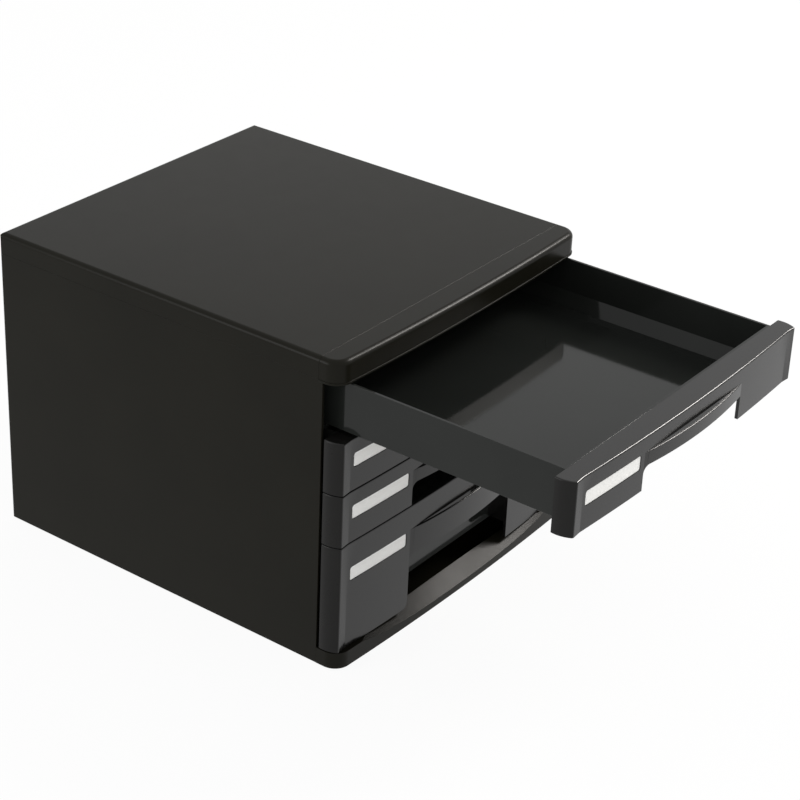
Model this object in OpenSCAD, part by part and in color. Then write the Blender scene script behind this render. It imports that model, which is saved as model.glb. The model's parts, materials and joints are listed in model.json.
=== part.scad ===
// Desktop letter tray stack: a moulded cabinet with three shallow drawers over a deep one.
// X is the width, the drawers open towards -Y, +Z is up, and z = 0 is the desk.
// The origin is the middle of the closed cabinet's footprint.

/* [Cabinet] */
// Width over the side panels
cabinet_w = 300; // [290:1:340]
// Depth of the casing behind the seam of the top
body_depth = 312; // [290:1:340]
// Wall of the panels, the top cover and the visor
panel_t = 2.5; // [2:0.1:3]
// Radius of the long edges of the top
top_edge_r = 4.5; // [2:0.1:5]
// Radius of the upright rear corners
rear_corner_r = 2.5; // [1:0.1:4]
// Height of the rim that hangs down around the top cover
skirt_h = 17; // [10:0.5:19]
// How far the front edges of the side panels lie before the seam
side_lead = 3.5; // [1:0.5:5]

/* [Visor and base] */
// Height of the visor
visor_h = 18.6; // [17.2:0.2:26]
// Gap between the visor and the top front
visor_gap = 0.9; // [0.6:0.1:4]
// Reach of the visor's ends before the seam
visor_reach = 18.3; // [14:0.1:20]
// Radius of the upright corners of the visor and of the base
nose_corner_r = 13; // [8:0.5:13]
// Bow of the visor and of the base at mid width
nose_bow = 3.4; // [2:0.2:6]
// Bead along the lower edge of the visor, how far it stands out
bead_proud = 0.5; // [0.2:0.1:1]
// Height of that bead
bead_h = 1.6; // [1:0.1:3]
// Reach of the base's ends before the seam
base_reach = 24.2; // [21:0.1:26]
// Height of the front rim of the base
rim_h = 13.3; // [10:0.1:18]
// Depth of the front rim at its ends
rim_depth = 10.8; // [10:0.1:18]
// Thickness of the floor of the base
deck_t = 3; // [2.5:0.1:4]
// Depth of the scoop in the front rim
scoop_drop = 7.5; // [3:0.5:8]
// Half the width of that scoop
scoop_half_w = 134; // [90:1:140]

/* [Drawer fronts] */
// Height of a shallow front
shallow_front_h = 42.2; // [38:0.2:60]
// Height of the deep front at the bottom
deep_front_h = 89.4; // [80:0.1:110]
// Gap between fronts
front_gap = 0.9; // [0.6:0.1:2]
// Wall of a front
front_t = 2.5; // [2:0.1:3]
// How far the ends of the face lie before the seam
face_reach = 20.6; // [17:0.1:22]
// Bow of the face at mid width
face_bow = 4.1; // [1:0.1:6]
// Gap between the back edge of a front and the side panels
front_back_gap = 2.4; // [0.5:0.1:3]
// Width of the raised facet at each end of the face
facet_w = 9; // [4:0.5:12]
// How far the outer corner of that facet stands out
facet_proud = 0.8; // [0.4:0.1:3]
// How far the sharp corner lies inside the full width
corner_inset = 3.5; // [2:0.1:6]
// How far the back edge of the rounded end lies inside the full width
end_inset = 0.4; // [0.4:0.1:2]
// Bulge of the rounded end over its chord
end_bulge = 1.5; // [0.5:0.1:2]

/* [Grip] */
// Width of the block left of the grip opening
left_block_w = 84.5; // [80:0.5:100]
// Width of the block right of the grip opening
right_block_w = 84.5; // [70:0.1:90]
// Outward bow of the grip lip
lip_bow = 4; // [3:0.1:6]
// Wall of the lip
lip_t = 1.6; // [1.5:0.1:2.5]
// Top of the lip below the top of a shallow front
shallow_lip_drop = 12.8; // [12:0.1:18]
// Height of the lip on a shallow front
shallow_lip_h = 10.6; // [7:0.1:14]
// Top of the lip below the top of the deep front
deep_lip_drop = 20.5; // [16:0.5:30]
// Height of the lip on the deep front
deep_lip_h = 21.5; // [10:0.5:24]
// Radius where the left block runs into the lip
lip_fillet_r = 6; // [3:0.5:8]
// Radius of the lower corner of the deep front's left block
block_corner_r = 6; // [3:0.5:10]

/* [Labels] */
// Width of the label recess
label_w = 64; // [50:1:70]
// Height of the label recess
label_h = 11.6; // [9:0.1:14]
// Distance of the middle of the recess from the end of the front
label_inset = 48; // [47:0.5:52]
// Top of the recess below the top of a shallow front
shallow_label_drop = 12.4; // [8:0.1:18]
// Top of the recess below the top of the deep front
deep_label_drop = 21.4; // [10:0.1:30]
// Depth of the recess
label_depth = 1; // [0.8:0.1:1.2]
// Radius of the corners of the recess
label_r = 2; // [1:0.1:3]
// Thickness of the card in the recess
card_t = 0.5; // [0.3:0.1:0.6]

/* [Trays] */
// Outer width of a tray
tray_w = 274; // [260:1:276]
// Height of a shallow tray
shallow_tray_h = 38.8; // [30:0.1:39.3]
// Height of the deep tray
deep_tray_h = 78.3; // [50:0.1:80]
// Wall of the trays
tray_t = 2; // [1.6:0.1:2.5]
// Width of the sloped foot inside the side walls
foot_slope_w = 8; // [4:0.5:12]
// Height of that sloped foot
foot_slope_h = 10; // [5:0.5:14]
// Clearance between a closed tray and the back panel
tray_back_gap = 1; // [0.6:0.1:3]
// Full travel of a drawer
drawer_travel = 220; // [150:1:240]
// How far the top drawer stands open
top_open = 189; // [0:1:210]

/* [Guides and feet] */
// Wall of the guide frames
guide_t = 2.2; // [1.8:0.1:3]
// Thickness of a ledge
ledge_t = 3.2; // [2:0.1:3.6]
// Overlap of a ledge under a tray
ledge_grip = 11; // [6:0.5:16]
// Distance of the guide frames behind the seam
guide_setback = 2; // [1:0.5:6]
// Running clearance of the sliding parts
slide_gap = 0.3; // [0.3:0.05:0.6]
// How far a stop lug stands out from its tray
lug_proud = 4.5; // [3:0.1:5]
// Length of a stop lug and of its stop
lug_l = 5; // [3:0.5:8]
// Height of a stop lug and of its stop
lug_h = 10; // [6:0.5:14]
// Diameter of the rubber feet
foot_d = 18; // [12:0.5:24]
// How far the feet stand out below the base
foot_proud = 1.2; // [0.8:0.1:2]
// Depth of the sockets that hold the feet
foot_socket = 0.8; // [0.5:0.1:1.5]
// Distance of the feet from the outer edges of the casing
foot_inset = 24; // [18:0.5:40]

/* [Hidden] */

// Smoothness of true arcs, and the steps of the curves given by a formula
$fn = 64;
bow_steps = 24;
corner_steps = 16;
end_steps = 8;
edge_steps = 10;
// Overshoot of cutting shapes
cut = 1;

casing_color = [0.15, 0.15, 0.145];
front_color = [0.2, 0.2, 0.2];
tray_color = [0.17, 0.175, 0.17];
card_color = [0.92, 0.92, 0.9];
rubber_color = [0.05, 0.05, 0.05];

// Plan of the casing
half_w = cabinet_w / 2;
inner_half_w = half_w - panel_t;
total_depth = body_depth + base_reach + nose_bow;
seam_y = -total_depth / 2 + base_reach + nose_bow;
back_y = seam_y + body_depth;
side_front_y = seam_y - side_lead;
guide_front_y = seam_y + guide_setback;

// Heights, from the desk up
under_z = foot_proud;
deck_z = under_z + deck_t;
rim_z = under_z + rim_h;
TOP = 1;
DEEP = 4;
function front_height(i) = i == DEEP ? deep_front_h : shallow_front_h;
function front_z(i) = i == DEEP
    ? rim_z + front_gap
    : front_z(i + 1) + front_height(i + 1) + front_gap;
function tray_height(i) = i == DEEP ? deep_tray_h : shallow_tray_h;
function tray_top_z(i) = front_z(i) + front_height(i);
function tray_z(i) = tray_top_z(i) - tray_height(i);
function ledge_z(i) = tray_z(i) - slide_gap - ledge_t;
visor_z = tray_top_z(TOP) + visor_gap;
top_z = visor_z + visor_h;
skirt_z = top_z - skirt_h;

// Drawer fronts
face_y0 = seam_y - face_reach;
facet_x = half_w - corner_inset - facet_w;
band_back_y = side_front_y - front_back_gap;
opening_x0 = -half_w + left_block_w;
opening_x1 = half_w - right_block_w;
opening_mid = (opening_x0 + opening_x1) / 2;
opening_half = (opening_x1 - opening_x0) / 2;
function face_y(x) = face_y0 - face_bow * (1 - pow(x / facet_x, 2));
function lip_y(x) = face_y(x) - lip_bow * (1 - pow((x - opening_mid) / opening_half, 2));
function lip_drop(i) = i == DEEP ? deep_lip_drop : shallow_lip_drop;
function lip_height(i) = i == DEEP ? deep_lip_h : shallow_lip_h;
function label_drop(i) = i == DEEP ? deep_label_drop : shallow_label_drop;

// Trays and their stops
tray_half_w = tray_w / 2;
tray_back_y = back_y - panel_t - tray_back_gap;
lug_y = tray_back_y - lug_l;
stop_y = lug_y - drawer_travel - slide_gap - lug_l;
function drawer_shift(i) = i == TOP ? [0, -top_open, 0] : [0, 0, 0];

// ---------- outlines ----------

// Plan of the visor and of the base: a bowed nose with rounded corners and a straight back
function nose_plan(reach, back, inset) =
    let (
        hw = half_w - inset,
        r = nose_corner_r - inset,
        y = seam_y - reach + inset,
        flat = hw - r
    )
    concat(
        [[-hw, back]],
        [for (k = [0 : corner_steps])
            let (a = 180 + 90 * k / corner_steps)
            [-flat + r * cos(a), y + r + r * sin(a)]],
        [for (k = [1 : bow_steps - 1])
            let (x = flat * (2 * k / bow_steps - 1))
            [x, y - nose_bow * (1 - pow(x / flat, 2))]],
        [for (k = [0 : corner_steps])
            let (a = 270 + 90 * k / corner_steps)
            [flat + r * cos(a), y + r + r * sin(a)]],
        [[hw, back]]
    );

// The rounded end of a front, from its sharp corner to its back edge; side is -1 or 1
function front_end(side) = [
    for (k = [0 : end_steps])
        let (
            t = k / end_steps,
            x = half_w - corner_inset + (corner_inset - end_inset) * t + 4 * end_bulge * t * (1 - t),
            y0 = face_y0 - facet_proud
        )
        [side * x, y0 + (band_back_y - y0) * t]
];

function reversed(v) = [for (k = [len(v) - 1 : -1 : 0]) v[k]];

// Points along the bowed face from x0 to x1, moved back by d
function face_line(x0, x1, d) = [
    for (k = [0 : bow_steps])
        let (x = x0 + (x1 - x0) * k / bow_steps)
        [x, face_y(x) + d]
];

function lip_line(x0, x1, d) = [
    for (k = [0 : bow_steps])
        let (x = x0 + (x1 - x0) * k / bow_steps)
        [x, lip_y(x) + d]
];

module front_plan() {
    polygon(concat(reversed(front_end(-1)), face_line(-facet_x, facet_x, 0), front_end(1)));
}

module front_hollow_plan() {
    x = half_w - end_inset - front_t;
    polygon(concat(
        [[-x, band_back_y + cut], [-x, face_y0 + front_t]],
        face_line(-facet_x, facet_x, front_t),
        [[x, face_y0 + front_t], [x, band_back_y + cut]]
    ));
}

// A strip that follows the face, from d0 to d1 behind it
module face_strip(x0, x1, d0, d1) {
    polygon(concat(face_line(x0, x1, d0), reversed(face_line(x0, x1, d1))));
}

module rounded_rect(w, h, r) {
    translate([r, 0]) square([w - 2 * r, h]);
    translate([0, r]) square([w, h - 2 * r]);
    for (x = [r, w - r], y = [r, h - r])
        translate([x, y]) circle(r = r);
}

// The corner that lies outside an arc, for fillets (added) and rounded corners (cut)
module corner_web(r) {
    difference() {
        square(r);
        translate([r, r]) circle(r = r);
    }
}

// Stands a flat shape upright, facing the front: its x stays, its y becomes z
module upright(y_back, l) {
    translate([0, y_back, 0]) rotate([90, 0, 0]) linear_extrude(l) children();
}

// ---------- casing ----------

module base_plate() {
    rim_back_y = seam_y - base_reach + rim_depth;
    hollow_h = rim_h - scoop_drop - 0.85 * panel_t;
    color(casing_color)
    difference() {
        union() {
            translate([0, 0, under_z])
                linear_extrude(rim_h) polygon(nose_plan(base_reach, side_front_y, 0));
            translate([-inner_half_w, side_front_y - cut, under_z])
                cube([2 * inner_half_w, back_y - side_front_y + cut, deck_t]);
        }
        translate([-inner_half_w, rim_back_y, deck_z])
            cube([2 * inner_half_w, side_front_y - rim_back_y + cut, rim_h]);
        scoop(rim_back_y);
        translate([0, 0, under_z - cut]) linear_extrude(hollow_h + cut)
            intersection() {
                polygon(nose_plan(base_reach, side_front_y, panel_t));
                translate([-half_w, rim_back_y - panel_t - rim_depth]) square([cabinet_w, rim_depth]);
            }
        for (x = foot_xs(), y = foot_ys())
            translate([x, y, under_z - cut]) cylinder(d = foot_d, h = foot_socket + cut);
    }
}

// A wide shallow scoop that falls towards the front
module scoop(back) {
    run = back - (seam_y - base_reach - nose_bow);
    slope = atan(scoop_drop / run);
    edge = [for (k = [0 : bow_steps])
        let (x = half_w * (2 * k / bow_steps - 1))
        [x, scoop_drop * pow(x / scoop_half_w, 4)]];
    translate([0, back, rim_z]) rotate([slope, 0, 0]) rotate([90, 0, 0])
        translate([0, 0, -cut]) linear_extrude(2 * run)
            polygon(concat(edge, [[half_w, 3 * rim_h], [-half_w, 3 * rim_h]]));
}

function foot_xs() = [-half_w + foot_inset, half_w - foot_inset];
function foot_ys() = [seam_y + foot_inset, back_y - foot_inset];

module rubber_foot(x, y) {
    chamfer = foot_proud / 3;
    color(rubber_color)
    translate([x, y, 0]) rotate_extrude()
        polygon([
            [0, 0],
            [foot_d / 2 - chamfer, 0],
            [foot_d / 2, chamfer],
            [foot_d / 2, foot_proud + foot_socket],
            [0, foot_proud + foot_socket]
        ]);
}

// The right panel; the left one is its mirror image
module side_panel() {
    color(casing_color)
    difference() {
        translate([inner_half_w, side_front_y, under_z])
            cube([panel_t, back_y - side_front_y, skirt_z - under_z]);
        translate([half_w, back_y, under_z - cut]) mirror([1, 1, 0]) mirror([1, -1, 0])
            linear_extrude(skirt_z) corner_web(min(rear_corner_r, panel_t));
        translate([inner_half_w - cut, side_front_y - cut, visor_z])
            cube([panel_t + 2 * cut, side_lead + cut, skirt_z]);
    }
}

module back_panel() {
    color(casing_color)
    translate([-inner_half_w, back_y - panel_t, deck_z])
        cube([2 * inner_half_w, panel_t, skirt_z - deck_z]);
}

module top_cover() {
    color(casing_color)
    difference() {
        intersection() {
            upright(back_y, body_depth) rounded_top(-half_w, half_w, true);
            translate([-half_w, 0, 0]) rotate([90, 0, 90])
                linear_extrude(cabinet_w) rounded_top(seam_y, back_y, false);
            difference() {
                translate([-half_w, seam_y, 0]) cube([cabinet_w, body_depth, top_z]);
                for (side = [0, 1]) mirror([side, 0, 0])
                    translate([half_w, back_y, 0]) mirror([1, 1, 0]) mirror([1, -1, 0])
                        linear_extrude(top_z) corner_web(min(rear_corner_r, panel_t));
            }
        }
        translate([-inner_half_w, seam_y - cut, skirt_z - cut])
            cube([2 * inner_half_w, body_depth - panel_t + cut, skirt_h - panel_t + cut]);
    }
}

// The upper part of the casing seen end on, from a to b, rounded at b and, if both, at a
module rounded_top(a, b, both) {
    r = top_edge_r;
    difference() {
        translate([a, skirt_z]) square([b - a, skirt_h]);
        translate([b, top_z]) rotate(180) corner_web(r);
        if (both) translate([a, top_z]) rotate(-90) corner_web(r);
    }
}

// The visor: a bowed wall with a bead along its foot, under a cap with a round edge
module front_visor() {
    color(casing_color) translate([0, 0, visor_z]) {
        linear_extrude(visor_h - top_edge_r) nose_wall(0);
        linear_extrude(bead_h) nose_wall(-bead_proud);
        nose_cap(visor_h - top_edge_r);
    }
}

// Plan of the wall of the visor, open behind; inset is that of its outer side
module nose_wall(inset) {
    difference() {
        polygon(nose_plan(visor_reach, seam_y, inset));
        polygon(nose_plan(visor_reach, seam_y + cut, panel_t));
    }
}

// The top of the visor from height z up, drawn in along a quarter circle
module nose_cap(z) {
    loft([
        for (k = [0 : edge_steps])
            let (a = 90 * k / edge_steps, r = top_edge_r)
            [for (p = nose_plan(visor_reach, seam_y, r * (1 - cos(a)))) [p[0], p[1], z + r * sin(a)]]
    ]);
}

// A closed solid through a stack of rings with the same number of points
module loft(rings) {
    n = len(rings[0]);
    m = len(rings);
    polyhedron(
        points = [for (ring = rings) each ring],
        faces = concat(
            [[for (i = [0 : n - 1]) i]],
            [for (j = [0 : m - 2], i = [0 : n - 1])
                let (a = j * n + i, b = j * n + (i + 1) % n)
                each [[a, a + n, b + n], [a, b + n, b]]],
            [[for (i = [n - 1 : -1 : 0]) (m - 1) * n + i]]
        )
    );
}

// ---------- guides ----------

// The right guide frame: a wall with one ledge and one stop for each tray
module guide_frame() {
    wall_x = inner_half_w - guide_t;
    ledge_x = tray_half_w - ledge_grip;
    stop_clear = 1;
    stop_x = tray_half_w + slide_gap + stop_clear;
    guide_l = back_y - panel_t - guide_front_y;
    color(tray_color) {
        translate([wall_x, guide_front_y, deck_z]) cube([guide_t, guide_l, top_z - panel_t - deck_z]);
        for (i = [TOP : DEEP]) {
            translate([ledge_x, guide_front_y, ledge_z(i)])
                cube([wall_x - ledge_x + cut, guide_l, ledge_t]);
            translate([stop_x, stop_y, tray_top_z(i) - lug_h - slide_gap])
                cube([wall_x - stop_x + cut, lug_l, lug_h]);
        }
    }
}

// ---------- drawers ----------

module drawer_front(i) {
    h = front_height(i);
    lip_top = h - lip_drop(i);
    lip_bottom = lip_top - lip_height(i);
    color(front_color)
    translate(drawer_shift(i)) translate([0, 0, front_z(i)]) {
        difference() {
            linear_extrude(h) front_plan();
            translate([0, 0, -cut]) linear_extrude(h - front_t + cut) front_hollow_plan();
            translate([opening_x0, face_y0 - face_bow - cut, -cut])
                cube([opening_x1 - opening_x0, band_back_y - face_y0 + face_bow + 2 * cut, lip_top + cut]);
            label_space(i, 0, -cut, label_depth);
            if (i == DEEP)
                upright(band_back_y, total_depth)
                    translate([opening_x0, 0]) rotate(90) corner_web(block_corner_r);
        }
        // The lip, and the fillet that carries it into the left block
        translate([0, 0, lip_bottom]) linear_extrude(lip_height(i)) lip_plan();
        intersection() {
            linear_extrude(h) lip_plan();
            upright(band_back_y, total_depth)
                translate([opening_x0, lip_bottom]) rotate(-90) corner_web(lip_fillet_r);
        }
        front_ribs(i);
    }
}

module lip_plan() {
    ends = front_t / 2;
    polygon(concat(
        lip_line(opening_x0 - ends, opening_x1 + ends, 0),
        reversed(lip_line(opening_x0 - ends, opening_x1 + ends, lip_t))
    ));
}

// Ribs behind both blocks, against the front wall of the tray; on the deep front the inner
// ones line the grip opening
module front_ribs(i) {
    rib_bottom = tray_z(i) - front_z(i) + tray_t;
    left_mid = -half_w + left_block_w / 2;
    right_mid = half_w - right_block_w / 2;
    spread = min(left_block_w, right_block_w) / 4;
    left_inner = i == DEEP ? opening_x0 - tray_t / 2 : left_mid + spread;
    right_inner = i == DEEP ? opening_x1 + tray_t / 2 : right_mid - spread;
    sunk = 0.4;
    for (x = [left_mid - spread, left_inner, right_inner, right_mid + spread])
        translate([x - tray_t / 2, face_y(x) + front_t - sunk, rib_bottom])
            cube([
                tray_t,
                band_back_y - face_y(x) - front_t + sunk,
                front_height(i) - rib_bottom - front_t / 2
            ]);
}

// The space of the label recess, smaller by gap all round, from d0 to d1 behind the face
module label_space(i, gap, d0, d1) {
    x0 = -half_w + label_inset - label_w / 2;
    z0 = front_height(i) - label_drop(i) - label_h;
    intersection() {
        upright(band_back_y, total_depth)
            translate([x0 + gap, z0 + gap])
                rounded_rect(label_w - 2 * gap, label_h - 2 * gap, label_r - gap);
        linear_extrude(front_height(i)) face_strip(x0 - cut, x0 + label_w + cut, d0, d1);
    }
}

module drawer_label_card(i) {
    color(card_color)
    translate(drawer_shift(i)) translate([0, 0, front_z(i)])
        label_space(i, slide_gap, label_depth - card_t, label_depth);
}

module drawer_tray(i) {
    h = tray_height(i);
    l = tray_back_y - band_back_y;
    color(tray_color)
    translate(drawer_shift(i)) translate([0, 0, tray_z(i)]) {
        upright(tray_back_y, l) tray_section(h);
        for (y = [band_back_y + tray_t, tray_back_y])
            upright(y, tray_t) translate([-tray_half_w, 0]) square([tray_w, h]);
        for (side = [0, 1]) mirror([side, 0, 0])
            translate([tray_half_w - tray_t / 2, lug_y, h - lug_h - slide_gap])
                cube([lug_proud + tray_t / 2, lug_l, lug_h]);
    }
}

// Cross-section of a tray: upright sides whose inner foot slopes down to the floor,
// with the same slope under it, so that the outer wall runs on as a skirt
module tray_section(h) {
    in_x = tray_half_w - tray_t;
    floor_x = in_x - foot_slope_w;
    slope_top = tray_t + foot_slope_h;
    under_top = slope_top - 1.5 * tray_t;
    half = [
        [floor_x, tray_t],
        [in_x, slope_top],
        [in_x, h],
        [tray_half_w, h],
        [tray_half_w, 0],
        [in_x, 0],
        [in_x, under_top],
        [floor_x + tray_t / 2, 0]
    ];
    polygon(concat(half, reversed([for (p = half) [-p[0], p[1]]])));
}

base_plate();
mirror([1, 0, 0]) side_panel();  // left_side_panel
side_panel();  // right_side_panel
back_panel();
top_cover();
front_visor();
mirror([1, 0, 0]) guide_frame();  // left_guide_frame
guide_frame();  // right_guide_frame
rubber_foot(foot_xs()[0], foot_ys()[0]);  // front_left_foot
rubber_foot(foot_xs()[1], foot_ys()[0]);  // front_right_foot
rubber_foot(foot_xs()[0], foot_ys()[1]);  // rear_left_foot
rubber_foot(foot_xs()[1], foot_ys()[1]);  // rear_right_foot
drawer_tray(1);  // drawer_1_tray
drawer_front(1);  // drawer_1_front
drawer_label_card(1);  // drawer_1_label_card
drawer_tray(2);  // drawer_2_tray
drawer_front(2);  // drawer_2_front
drawer_label_card(2);  // drawer_2_label_card
drawer_tray(3);  // drawer_3_tray
drawer_front(3);  // drawer_3_front
drawer_label_card(3);  // drawer_3_label_card
drawer_tray(4);  // drawer_4_tray
drawer_front(4);  // drawer_4_front
drawer_label_card(4);  // drawer_4_label_card
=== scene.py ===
"""Looks of the letter tray stack with drawers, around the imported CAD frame.

Each CAD node gets the small rounded edges of a moulded part and a finish of black plastic, white
card or rubber. A pale floor, a pale room and three soft lamps light it.
"""

import json
from math import cos, radians, sin

import bmesh
import bpy
from mathutils import Matrix, Vector


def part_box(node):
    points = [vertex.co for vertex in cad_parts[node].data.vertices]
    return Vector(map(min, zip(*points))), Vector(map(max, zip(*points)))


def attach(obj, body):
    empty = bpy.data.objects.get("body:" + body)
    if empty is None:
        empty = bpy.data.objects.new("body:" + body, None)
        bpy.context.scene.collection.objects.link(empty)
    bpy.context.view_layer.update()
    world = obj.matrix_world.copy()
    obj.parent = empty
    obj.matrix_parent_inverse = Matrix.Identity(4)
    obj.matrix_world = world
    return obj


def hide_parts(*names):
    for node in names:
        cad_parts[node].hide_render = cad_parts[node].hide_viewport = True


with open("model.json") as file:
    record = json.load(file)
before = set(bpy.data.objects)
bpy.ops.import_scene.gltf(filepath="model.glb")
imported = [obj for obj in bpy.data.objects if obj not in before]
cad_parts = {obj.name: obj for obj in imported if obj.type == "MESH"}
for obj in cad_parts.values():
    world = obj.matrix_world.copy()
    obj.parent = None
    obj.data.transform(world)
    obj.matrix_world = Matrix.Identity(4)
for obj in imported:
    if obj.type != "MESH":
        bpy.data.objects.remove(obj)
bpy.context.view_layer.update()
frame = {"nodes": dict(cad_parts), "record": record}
NODES = frame["nodes"]
SLOTS = {row["node"]: row["material_slot"] for row in frame["record"]["subparts"]}
BODIES = frame["record"]["behaviour"]["bodies"]
BODY_OF = {node: body for body, nodes in BODIES.items() for node in nodes}
MM = 0.001
WHITE = (1.0, 1.0, 1.0)


def add_object(name, data):
    """A new object in the scene, made of the given mesh, camera or light."""
    added = bpy.data.objects.new(name, data)
    bpy.context.scene.collection.objects.link(added)
    return added


# ---------------------------------------------------------------- camera

# Place in metres, and angles in degrees: from +Y towards +X, downwards, and about the view line
CAMERA_AT = (-1.2282, -0.9871, 0.9706)
CAMERA_AZIMUTH = 53.09
CAMERA_ELEVATION = 27.66
CAMERA_ROLL = 1.95
# Focal length and sensor in mm, the shift as a share of the sensor, and the depth in metres
CAMERA_LENS = 101.43
SENSOR_WIDTH = 36.0
SHIFT = 0.05
VIEW_DEPTH = 50.0


def make_camera():
    """Looks to the right and down over the cabinet's front left corner."""
    az, el, roll = (radians(a) for a in (CAMERA_AZIMUTH, CAMERA_ELEVATION, CAMERA_ROLL))
    forward = Vector((sin(az) * cos(el), cos(az) * cos(el), -sin(el)))
    right = Vector((cos(az), -sin(az), 0.0))
    up = right.cross(forward)
    rolled_right = right * cos(roll) + up * sin(roll)
    rolled_up = up * cos(roll) - right * sin(roll)
    data = bpy.data.cameras.new("camera")
    data.lens = CAMERA_LENS
    data.sensor_width = SENSOR_WIDTH
    data.shift_x = SHIFT
    data.shift_y = -SHIFT
    data.clip_end = VIEW_DEPTH
    camera = add_object("camera", data)
    turn = Matrix((rolled_right, rolled_up, -forward)).transposed().to_4x4()
    camera.matrix_world = Matrix.Translation(CAMERA_AT) @ turn
    bpy.context.scene.camera = camera


# ---------------------------------------------------------------- materials

# Noises over a piece's own coordinates: cells per metre, octaves and the weight of the fine ones
TINT_CLOUDS = {"Scale": 14.0, "Detail": 3.0, "Roughness": 0.5}
GLOSS_CLOUDS = {"Scale": 60.0, "Detail": 5.0, "Roughness": 0.6}
SPARKED_GRAIN = {"Scale": 1900.0, "Detail": 2.0, "Roughness": 0.6}
CARD_FIBRE = {"Scale": 1400.0, "Detail": 5.0, "Roughness": 0.7}
RUBBER_SPECKLE = {"Scale": 700.0, "Detail": 4.0, "Roughness": 0.6}
# Where a ramp over such a noise starts and ends
RAMP_SPAN = (0.3, 0.7)

# How far plastic varies: its colour by these factors, its roughness by these additions
TINT_RANGE = (0.92, 1.10)
GLOSS_RANGE = (-0.015, 0.02)
GRAIN_DEPTH = 0.12 * MM

CARD_COLOURS = ((0.80, 0.80, 0.78), (0.88, 0.88, 0.86))
CARD_ROUGHNESS = 0.75
FIBRE_STRENGTH = 0.15
FIBRE_DEPTH = 0.05 * MM

RUBBER_COLOURS = ((0.012, 0.012, 0.012), (0.022, 0.022, 0.021))
RUBBER_ROUGHNESS = 0.8

CASING_BLACK = (0.0075, 0.0070, 0.0046)
FRONT_BLACK = (0.0075, 0.0072, 0.0068)
TRAY_BLACK = (0.0120, 0.0132, 0.0120)


def new_material(name):
    """A new material, its node tree and its Principled shader."""
    material = bpy.data.materials.new(name)
    material.use_nodes = True
    tree = material.node_tree
    return material, tree, tree.nodes["Principled BSDF"]


def noise(tree, settings):
    """Grey noise over the object's own coordinates."""
    place = tree.nodes.new("ShaderNodeTexCoord")
    node = tree.nodes.new("ShaderNodeTexNoise")
    for name, value in settings.items():
        node.inputs[name].default_value = value
    tree.links.new(place.outputs["Object"], node.inputs["Vector"])
    return node.outputs["Fac"]


def ramp(tree, value, low, high):
    """A colour or grey that runs from low to high as value rises."""
    node = tree.nodes.new("ShaderNodeValToRGB")
    for stop, place, colour in zip(node.color_ramp.elements, RAMP_SPAN, (low, high)):
        if isinstance(colour, float):
            colour = (colour,) * 3
        stop.position = place
        stop.color = (*colour, 1.0)
    tree.links.new(value, node.inputs["Fac"])
    return node.outputs["Color"]


def emboss(tree, shader, height, strength, depth):
    """Gives the surface the relief of a grey height."""
    bump = tree.nodes.new("ShaderNodeBump")
    bump.inputs["Strength"].default_value = strength
    bump.inputs["Distance"].default_value = depth
    tree.links.new(height, bump.inputs["Height"])
    tree.links.new(bump.outputs["Normal"], shader.inputs["Normal"])


def moulded_plastic(name, colour, roughness, grain, specular):
    """Black moulded plastic: a fine sparked grain and slow changes of tint and gloss."""
    material, tree, shader = new_material(name)
    darker, lighter = (tuple(c * factor for c in colour) for factor in TINT_RANGE)
    tint = ramp(tree, noise(tree, TINT_CLOUDS), darker, lighter)
    tree.links.new(tint, shader.inputs["Base Color"])
    glossy, dull = (roughness + change for change in GLOSS_RANGE)
    gloss = ramp(tree, noise(tree, GLOSS_CLOUDS), glossy, dull)
    tree.links.new(gloss, shader.inputs["Roughness"])
    shader.inputs["Specular IOR Level"].default_value = specular
    emboss(tree, shader, noise(tree, SPARKED_GRAIN), grain, GRAIN_DEPTH)
    return material


def plain_card(name):
    """Plain white card with a faint fibre."""
    material, tree, shader = new_material(name)
    fibre = noise(tree, CARD_FIBRE)
    tree.links.new(ramp(tree, fibre, *CARD_COLOURS), shader.inputs["Base Color"])
    shader.inputs["Roughness"].default_value = CARD_ROUGHNESS
    emboss(tree, shader, fibre, FIBRE_STRENGTH, FIBRE_DEPTH)
    return material


def plain_rubber(name):
    """Dull black rubber with a fine speckle."""
    material, tree, shader = new_material(name)
    speckle = noise(tree, RUBBER_SPECKLE)
    tree.links.new(ramp(tree, speckle, *RUBBER_COLOURS), shader.inputs["Base Color"])
    shader.inputs["Roughness"].default_value = RUBBER_ROUGHNESS
    return material


# The materials of each slot. The second one of the fronts is for their end faces, and paints shade
# on them.
MATERIALS = {
    "casing": [
        moulded_plastic("casing_plastic", CASING_BLACK, roughness=0.30, grain=0.12, specular=0.085),
    ],
    "drawer_fronts": [
        moulded_plastic("front_plastic", FRONT_BLACK, roughness=0.20, grain=0.04, specular=0.335),
        # Painted shade: less gloss and more roughness than the first make the end faces render
        # darker than the front faces.
        moulded_plastic("front_end_painted_shade", FRONT_BLACK, roughness=0.28, grain=0.06, specular=0.16),
    ],
    "inner_plastic": [
        moulded_plastic("tray_plastic", TRAY_BLACK, roughness=0.07, grain=0.02, specular=0.20),
    ],
    "label_card": [plain_card("label_card_paper")],
    "rubber_feet": [plain_rubber("foot_rubber")],
}

# ---------------------------------------------------------------- pieces

FRONT_SLOT = "drawer_fronts"
FRONT_HALF_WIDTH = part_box("drawer_1_front")[1].x
# The facet at each end of a front lies beyond the first x, and its end face beyond the second
FACET_X = FRONT_HALF_WIDTH - 11 * MM
END_FACE_X = FRONT_HALF_WIDTH - 4 * MM

# Points closer than this are one, and faces that meet at less than this are one flat face
WELD = 0.002 * MM
FLAT = radians(0.05)
# Outward edges sharper than this are rounded, and faces that meet at less than the crease
# shade as one smooth surface
SHARP = radians(32.0)
CREASE = radians(7.3)

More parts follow.
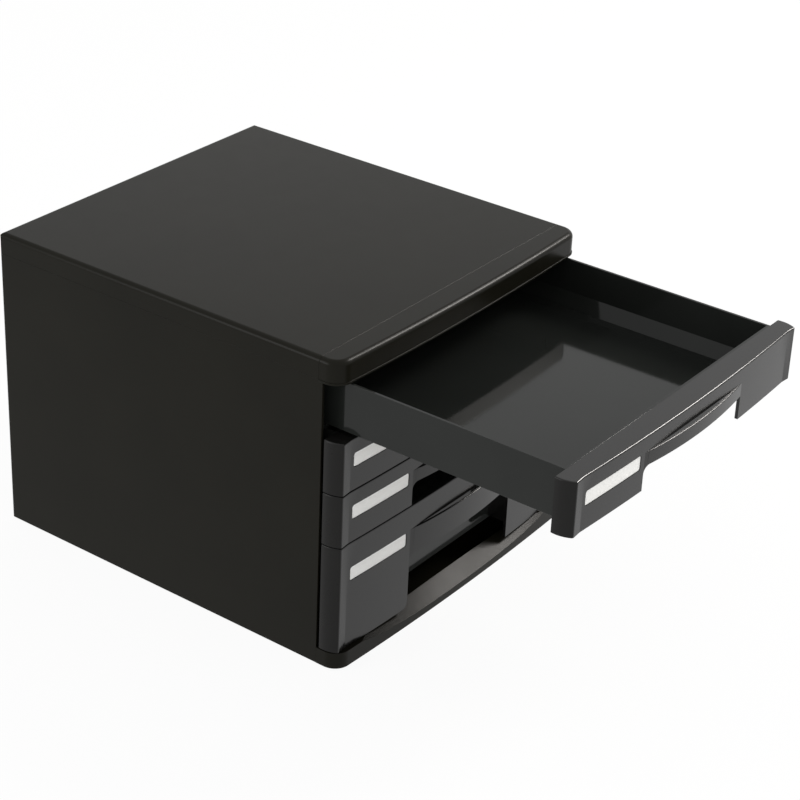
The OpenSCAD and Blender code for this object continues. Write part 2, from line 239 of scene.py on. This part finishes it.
# Widths of the rounded edges, in mm, by slot and for the parts of a front
EDGE_WIDTHS = {"casing": 0.22, "inner_plastic": 0.2, "label_card": 0.08, "rubber_feet": 0.2}
EDGE_SEGMENTS = 2
TOP_ROUND = 1.3
CORNER_ROUND = 1.2
LIP_ROUND = 0.7
FRONT_SEGMENTS = 4
# The lip is rounded where it stands out further than this, in mm, and by this share of it at most
LIP_STAND_OUT = 0.3
LIP_SHARE = 0.4

# Edges within this of a front's highest or rearmost points are its top or back edges
SLACK = 0.3 * MM
# Cosines above which an edge or a normal counts as along an axis: in general, for the face at
# an outer corner, and for an end face
ALONG = 0.9
FORWARD = 0.7
SIDEWAYS = 0.8


def clean(mesh):
    """Welds double points and makes each flat face whole, so that only real edges are left."""
    bmesh.ops.remove_doubles(mesh, verts=mesh.verts, dist=WELD)
    bmesh.ops.dissolve_limit(
        mesh, angle_limit=FLAT, verts=mesh.verts, edges=mesh.edges, use_dissolve_boundaries=False
    )
    mesh.normal_update()


def sharp_edges(mesh):
    """The outward edges that a mould rounds off."""
    return [
        edge for edge in mesh.edges
        if len(edge.link_faces) == 2 and edge.is_convex and edge.calc_face_angle(0.0) > SHARP
    ]


def top_edges(mesh, edges):
    """The edges round the top of a front, apart from those at its back."""
    top = max(v.co.z for v in mesh.verts)
    around = [e for e in edges if all(v.co.z > top - SLACK for v in e.verts)]
    back = max(v.co.y for e in around for v in e.verts)
    return [e for e in around if not all(v.co.y > back - SLACK for v in e.verts)]


def face_line(edges):
    """Points (x, y) of the bowed face between the end facets, from left to right."""
    points = {(v.co.x, v.co.y) for e in edges for v in e.verts}
    return sorted((x, y) for x, y in points if abs(x) < FACET_X)


def y_at(line, x):
    """Linear interpolation in sorted (x, y) points."""
    for (x0, y0), (x1, y1) in zip(line, line[1:]):
        if x0 <= x <= x1:
            return y0 + (y1 - y0) * (x - x0) / (x1 - x0)
    return line[-1][1]


def lip_widths(edges, line):
    """Rounding of the lip's upper edge, less where it stands out less from the face."""
    widths = {}
    for edge in edges:
        normals = [f.normal for f in edge.link_faces]
        faces_up = any(n.z > ALONG for n in normals)
        faces_front = any(n.y < -ALONG for n in normals)
        if faces_up and faces_front:
            middle = (edge.verts[0].co + edge.verts[1].co) / 2
            stands_out = (y_at(line, middle.x) - middle.y) / MM
            if stands_out > LIP_STAND_OUT:
                widths[edge] = min(LIP_ROUND, LIP_SHARE * stands_out)
    return widths


def is_outer_corner(edge):
    """Whether an edge stands upright at a front's left or right end."""
    a, b = (v.co for v in edge.verts)
    upright = abs(a.z - b.z) > ALONG * edge.calc_length()
    faces_front = any(f.normal.y < -FORWARD for f in edge.link_faces)
    return upright and faces_front and min(abs(a.x), abs(b.x)) > FACET_X


def front_widths(mesh):
    """Rounding of a front, in mm: its lip, its top edge and its outer corners."""
    edges = sharp_edges(mesh)
    top = top_edges(mesh, edges)
    widths = lip_widths(edges, face_line(top))
    widths.update((edge, TOP_ROUND) for edge in top)
    widths.update((edge, CORNER_ROUND) for edge in edges if is_outer_corner(edge))
    return widths


def prepare(data, slot):
    """Marks the edges to round, the smooth shading and the end faces with their painted shade; gives
    the widest rounding.
    """
    is_front = slot == FRONT_SLOT
    mesh = bmesh.new()
    mesh.from_mesh(data)
    clean(mesh)
    shares = mesh.edges.layers.float.new("bevel_weight_edge")
    if is_front:
        widths = front_widths(mesh)
    else:
        widths = dict.fromkeys(sharp_edges(mesh), EDGE_WIDTHS[slot])
    widest = max(widths.values())
    for edge in mesh.edges:
        edge[shares] = widths.get(edge, 0.0) / widest
        rounded = is_front and edge in widths
        edge.smooth = rounded or edge.calc_face_angle(0.0) < CREASE
    for face in mesh.faces:
        face.smooth = True
        # The end faces of a front get its second material, whose lower gloss paints shade on them.
        at_end = abs(face.calc_center_median().x) > END_FACE_X
        faces_side = abs(face.normal.x) > SIDEWAYS
        face.material_index = int(is_front and at_end and faces_side)
    mesh.to_mesh(data)
    mesh.free()
    return widest


def soften(node):
    """Stands for a CAD node: its exact shape with small rounded edges, as moulded parts have."""
    slot = SLOTS[node]
    is_front = slot == FRONT_SLOT
    data = NODES[node].data.copy()
    data.materials.clear()
    for material in MATERIALS[slot]:
        data.materials.append(material)
    widest = prepare(data, slot)
    piece = add_object(node + "_moulding", data)
    bevel = piece.modifiers.new("edges", "BEVEL")
    bevel.width = widest * MM
    bevel.segments = FRONT_SEGMENTS if is_front else EDGE_SEGMENTS
    bevel.limit_method = "WEIGHT"
    bevel.use_clamp_overlap = not is_front
    weighted = piece.modifiers.new("normals", "WEIGHTED_NORMAL")
    weighted.keep_sharp = True
    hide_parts(node)
    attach(piece, BODY_OF[node])


# ---------------------------------------------------------------- stage and light

FLOOR_SIZE = 8.0
FLOOR_COLOUR = (0.9, 0.9, 0.9, 1.0)
FLOOR_ROUGHNESS = 0.9
FLOOR_SPECULAR = 0.1
# How much of the floor, where it is seen, is its own even white. The rest takes the shadow.
FLOOR_GLOW_SHARE = 0.93
# Strength of the pale room as a light, where 1 is white
ROOM_LIGHT = 0.8
WARM_WHITE = (1.0, 0.96, 0.92)
# Where the lamps point: the front of the cabinet, and its middle
AIM_FRONT = (0.0, -0.15, 0.15)
AIM_MIDDLE = (0.0, 0.0, 0.15)


def seen_directly(tree):
    """1 for rays from the camera, from gloss and through glass, and 0 for the rest."""
    path = tree.nodes.new("ShaderNodeLightPath")
    either = path.outputs["Is Camera Ray"]
    for name in ("Is Glossy Ray", "Is Transmission Ray"):
        larger = tree.nodes.new("ShaderNodeMath")
        larger.operation = "MAXIMUM"
        tree.links.new(either, larger.inputs[0])
        tree.links.new(path.outputs[name], larger.inputs[1])
        either = larger.outputs[0]
    return either


def floor_material():
    """White, mostly by itself where it is seen, and otherwise as it is lit."""
    material, tree, shader = new_material("floor_white")
    shader.inputs["Base Color"].default_value = FLOOR_COLOUR
    shader.inputs["Roughness"].default_value = FLOOR_ROUGHNESS
    shader.inputs["Specular IOR Level"].default_value = FLOOR_SPECULAR
    glow = tree.nodes.new("ShaderNodeEmission")
    glow.inputs["Color"].default_value = (*WHITE, 1.0)
    glow.inputs["Strength"].default_value = 1.0
    share = tree.nodes.new("ShaderNodeMath")
    share.operation = "MULTIPLY"
    share.inputs[1].default_value = FLOOR_GLOW_SHARE
    tree.links.new(seen_directly(tree), share.inputs[0])
    mix = tree.nodes.new("ShaderNodeMixShader")
    tree.links.new(share.outputs[0], mix.inputs["Fac"])
    tree.links.new(shader.outputs["BSDF"], mix.inputs[1])
    tree.links.new(glow.outputs["Emission"], mix.inputs[2])
    tree.links.new(mix.outputs["Shader"], tree.nodes["Material Output"].inputs["Surface"])
    return material


def make_floor():
    """A plain white floor that keeps the soft shadow of the object."""
    mesh = bpy.data.meshes.new("floor")
    half = FLOOR_SIZE / 2
    corners = [(-half, -half, 0), (half, -half, 0), (half, half, 0), (-half, half, 0)]
    mesh.from_pydata(corners, [], [(0, 1, 2, 3)])
    mesh.materials.append(floor_material())
    floor = add_object("floor", mesh)


def make_world():
    """A pale room: white where it is seen, dimmer as a light."""
    world = bpy.data.worlds.new("studio")
    bpy.context.scene.world = world
    world.use_nodes = True
    tree = world.node_tree
    back = tree.nodes["Background"]
    strength = tree.nodes.new("ShaderNodeMapRange")
    strength.inputs["To Min"].default_value = ROOM_LIGHT
    strength.inputs["To Max"].default_value = 1.0
    tree.links.new(seen_directly(tree), strength.inputs["Value"])
    tree.links.new(strength.outputs["Result"], back.inputs["Strength"])
    back.inputs["Color"].default_value = (*WHITE, 1.0)


def softbox(name, at, look_at, size, power, colour=WHITE, gloss_only=False):
    """A rectangular soft light at one place, facing another; sizes in metres, power in watts."""
    data = bpy.data.lights.new(name, "AREA")
    data.shape = "RECTANGLE"
    data.size, data.size_y = size
    data.energy = power
    data.color = colour
    lamp = add_object(name, data)
    lamp.location = at
    lamp.rotation_euler = (Vector(look_at) - Vector(at)).to_track_quat("-Z", "Y").to_euler()
    lamp.visible_diffuse = not gloss_only


def make_lamps():
    """A warm key at the right front with a twin for gloss alone, and a fill at the left back."""
    softbox(
        "key_box", at=(1.52, -0.86, 1.47), look_at=AIM_FRONT,
        size=(0.6, 0.6), power=24, colour=WARM_WHITE,
    )
    softbox("left_box", at=(-2.0, 0.9, 0.8), look_at=AIM_MIDDLE, size=(1.0, 0.8), power=14)
    softbox(
        "edge_box", at=(1.51, -0.85, 1.45), look_at=AIM_FRONT,
        size=(0.6, 0.6), power=22, colour=WARM_WHITE, gloss_only=True,
    )


# ---------------------------------------------------------------- the scene

for node_name in sorted(NODES):
    soften(node_name)
make_camera()
make_floor()
make_world()
make_lamps()

bpy.context.scene.view_settings.view_transform = "Standard"
